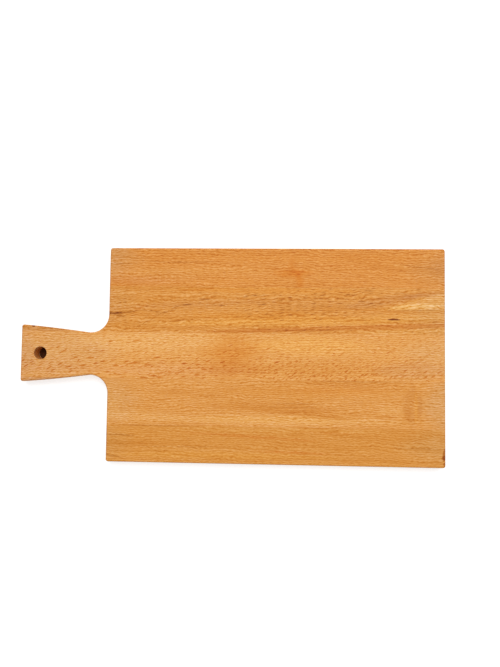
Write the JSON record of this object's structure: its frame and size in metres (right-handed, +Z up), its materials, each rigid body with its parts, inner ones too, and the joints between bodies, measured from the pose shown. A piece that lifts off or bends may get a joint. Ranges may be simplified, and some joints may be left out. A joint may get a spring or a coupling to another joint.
{
  "type": "cutting board",
  "caption": "Rectangular wooden cutting board, edge-glued from staves, with a flared handle, rounded edges and a hole to hang it by.",
  "frame": {"origin": "on the underside, in the middle of the board's length and width", "axes": "+X along the grain, from the handle's tip to the far end of the blade; +Y across the staves, from the front edge to the rear edge; +Z up, out of the cutting face"},
  "size_m": [0.3944, 0.2, 0.015],
  "materials": {
    "beech_front_edge": "satin, lightly oiled",
    "beech_front": "satin, lightly oiled",
    "beech_handle": "satin, lightly oiled",
    "beech_rear": "satin, lightly oiled",
    "beech_rear_edge": "satin, lightly oiled",
    "glue": "hardened wood glue, darker than the wood"
  },
  "bodies": {
    "root": {"front_edge_stave": "beech_front_edge", "front_stave": "beech_front", "handle_stave": "beech_handle", "rear_stave": "beech_rear", "rear_edge_stave": "beech_rear_edge", "handle_front_wedge": "beech_front", "handle_rear_wedge": "beech_rear", "front_edge_glue_line": "glue", "front_glue_line": "glue", "rear_glue_line": "glue", "rear_edge_glue_line": "glue", "handle_front_glue_line": "glue", "handle_rear_glue_line": "glue"}
  },
  "joints": []
}
